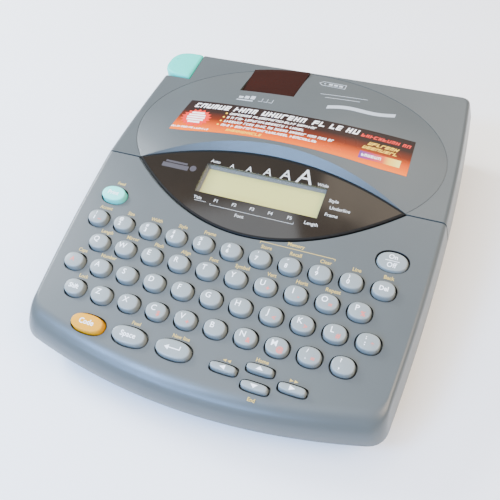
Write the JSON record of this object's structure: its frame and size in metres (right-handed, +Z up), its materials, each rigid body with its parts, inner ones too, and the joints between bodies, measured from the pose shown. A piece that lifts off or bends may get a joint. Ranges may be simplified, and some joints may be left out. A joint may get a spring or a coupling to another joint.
{
  "type": "label maker",
  "caption": "Desktop label maker: wedge casing with a keyboard deck, lens-shaped display, hinged tape cover with window, cutter button, and the tape drive and batteries inside.",
  "frame": {"origin": "on the table, under the middle of the casing", "axes": "+X is the user's right, +Y points to the rear, +Z is up"},
  "size_m": [0.216, 0.241, 0.0598],
  "materials": {
    "casing": "fine satin moulded texture",
    "key_grey": "satin",
    "key_teal": "satin",
    "key_amber": "satin",
    "smoked_lens": "gloss",
    "window": "gloss",
    "display": "gloss",
    "board": "satin",
    "chassis": "matte",
    "nylon": "satin",
    "steel": "satin",
    "rubber": "matte",
    "cassette": "satin",
    "tape": "satin",
    "cell": "gloss"
  },
  "bodies": {
    "casing": {"battery_1": "cell", "battery_2": "cell", "battery_3": "cell", "battery_4": "cell", "battery_5": "cell", "battery_6": "cell", "battery_box": "chassis", "battery_contacts_front": "steel", "battery_contacts_rear": "steel", "case_screw_1": "steel", "case_screw_2": "steel", "case_screw_3": "steel", "case_screw_4": "steel", "chassis_plate": "chassis", "cutter_guide": "chassis", "cutter_spring": "steel", "display_lens": "smoked_lens", "display_module": "display", "drive_motor": "steel", "foot_front_left": "rubber", "foot_front_right": "rubber", "foot_rear_left": "rubber", "foot_rear_right": "rubber", "hinge_pin_left": "steel", "hinge_pin_right": "steel", "keypad_board": "board", "lower_case": "casing", "main_board": "board", "power_jack": "rubber", "upper_case": "casing"},
    "cover": {"tape_cover": "casing", "tape_window": "window"},
    "cassette": {"tape_cassette": "cassette", "label_tape": "tape"},
    "print_head_arm": {"head_arm": "steel", "print_head": "chassis"},
    "platen": {"platen_gear": "nylon", "platen_roller": "rubber"},
    "pinion": {"motor_pinion": "steel"},
    "idler": {"idler_gear": "nylon"},
    "ribbon_drive": {"ribbon_gear": "nylon"},
    "cutter_button": {"cutter_button": "key_teal"},
    "cutter_blade": {"cutter_blade": "steel"},
    "battery_door": {"battery_door": "casing"},
    "key_row_numbers": {"key_row_numbers": "key_grey"},
    "key_row_q": {"key_row_q": "key_grey"},
    "key_row_a": {"key_row_a": "key_grey"},
    "key_row_z": {"key_row_z": "key_grey"},
    "print_key": {"print_key": "key_teal"},
    "on_off_key": {"on_off_key": "key_grey"},
    "code_key": {"code_key": "key_amber"},
    "space_key": {"space_key": "key_grey"},
    "return_key": {"return_key": "key_grey"},
    "cursor_left_key": {"cursor_left_key": "key_grey"},
    "cursor_up_key": {"cursor_up_key": "key_grey"},
    "cursor_down_key": {"cursor_down_key": "key_grey"},
    "cursor_right_key": {"cursor_right_key": "key_grey"}
  },
  "joints": [
    {"name": "cover_hinge", "type": "hinge", "parent": "casing", "child": "cover", "pos_m": [0, 0.1162, 0.0475], "axis": [-1, 0, 0], "range_deg": [0, 95]},
    {"name": "cassette_lift", "type": "slide", "parent": "casing", "child": "cassette", "axis": [0, 0, 1], "range_m": [0, 0.031]},
    {"name": "print_head_swing", "type": "hinge", "parent": "casing", "child": "print_head_arm", "pos_m": [-0.095, 0.078, 0.028], "axis": [0, 0, 1], "range_deg": [-5.5, 0]},
    {"name": "idler_spin", "type": "hinge", "parent": "casing", "child": "idler", "pos_m": [-0.06374, 0.06375, 0.00775], "axis": [0, 0, 1], "continuous": true},
    {"name": "pinion_spin", "type": "hinge", "parent": "casing", "child": "pinion", "pos_m": [-0.06, 0.036, 0.00775], "axis": [0, 0, 1], "continuous": true},
    {"name": "platen_spin", "type": "hinge", "parent": "casing", "child": "platen", "pos_m": [-0.082, 0.0888, 0.00775], "axis": [0, 0, 1], "continuous": true},
    {"name": "ribbon_spin", "type": "hinge", "parent": "casing", "child": "ribbon_drive", "pos_m": [-0.03222, 0.06931, 0.00775], "axis": [0, 0, 1], "continuous": true},
    {"name": "cutter_press", "type": "slide", "parent": "casing", "child": "cutter_button", "axis": [0, 0, -1], "range_m": [0, 0.003], "stiffness_N_per_m": 600, "springref_m": -0.002},
    {"name": "blade_stroke", "type": "slide", "parent": "casing", "child": "cutter_blade", "axis": [0, -1, 0], "range_m": [0, 0.006]},
    {"name": "battery_door_slide", "type": "slide", "parent": "casing", "child": "battery_door", "axis": [0, 1, 0], "range_m": [0, 0.06]},
    {"name": "key_row_numbers_press", "type": "slide", "parent": "casing", "child": "key_row_numbers", "axis": [0, 0.1478, -0.989], "range_m": [0, 0.001], "stiffness_N_per_m": 500, "springref_m": -0.001},
    {"name": "key_row_q_press", "type": "slide", "parent": "casing", "child": "key_row_q", "axis": [0, 0.1478, -0.989], "range_m": [0, 0.001], "stiffness_N_per_m": 500, "springref_m": -0.001},
    {"name": "key_row_a_press", "type": "slide", "parent": "casing", "child": "key_row_a", "axis": [0, 0.1478, -0.989], "range_m": [0, 0.001], "stiffness_N_per_m": 500, "springref_m": -0.001},
    {"name": "key_row_z_press", "type": "slide", "parent": "casing", "child": "key_row_z", "axis": [0, 0.1478, -0.989], "range_m": [0, 0.001], "stiffness_N_per_m": 500, "springref_m": -0.001},
    {"name": "print_key_press", "type": "slide", "parent": "casing", "child": "print_key", "axis": [0, 0.1478, -0.989], "range_m": [0, 0.001], "stiffness_N_per_m": 300, "springref_m": -0.001},
    {"name": "on_off_key_press", "type": "slide", "parent": "casing", "child": "on_off_key", "axis": [0, 0.1478, -0.989], "range_m": [0, 0.001], "stiffness_N_per_m": 300, "springref_m": -0.001},
    {"name": "code_key_press", "type": "slide", "parent": "casing", "child": "code_key", "axis": [0, 0.1478, -0.989], "range_m": [0, 0.001], "stiffness_N_per_m": 300, "springref_m": -0.001},
    {"name": "space_key_press", "type": "slide", "parent": "casing", "child": "space_key", "axis": [0, 0.1478, -0.989], "range_m": [0, 0.001], "stiffness_N_per_m": 300, "springref_m": -0.001},
    {"name": "return_key_press", "type": "slide", "parent": "casing", "child": "return_key", "axis": [0, 0.1478, -0.989], "range_m": [0, 0.001], "stiffness_N_per_m": 300, "springref_m": -0.001},
    {"name": "cursor_left_key_press", "type": "slide", "parent": "casing", "child": "cursor_left_key", "axis": [0, 0.1478, -0.989], "range_m": [0, 0.001], "stiffness_N_per_m": 300, "springref_m": -0.001},
    {"name": "cursor_up_key_press", "type": "slide", "parent": "casing", "child": "cursor_up_key", "axis": [0, 0.1478, -0.989], "range_m": [0, 0.001], "stiffness_N_per_m": 300, "springref_m": -0.001},
    {"name": "cursor_down_key_press", "type": "slide", "parent": "casing", "child": "cursor_down_key", "axis": [0, 0.1478, -0.989], "range_m": [0, 0.001], "stiffness_N_per_m": 300, "springref_m": -0.001},
    {"name": "cursor_right_key_press", "type": "slide", "parent": "casing", "child": "cursor_right_key", "axis": [0, 0.1478, -0.989], "range_m": [0, 0.001], "stiffness_N_per_m": 300, "springref_m": -0.001}
  ],
  "couplings": [
    {"joint": "cassette_lift", "follows": "cover_hinge", "m_per_rad": 0.0186},
    {"joint": "print_head_swing", "follows": "cover_hinge", "ratio": -0.0575},
    {"joint": "pinion_spin", "follows": "idler_spin", "ratio": -3.6667},
    {"joint": "platen_spin", "follows": "idler_spin", "ratio": -2.4444},
    {"joint": "ribbon_spin", "follows": "idler_spin", "ratio": -2.2},
    {"joint": "blade_stroke", "follows": "cutter_press", "ratio": 2}
  ]
}
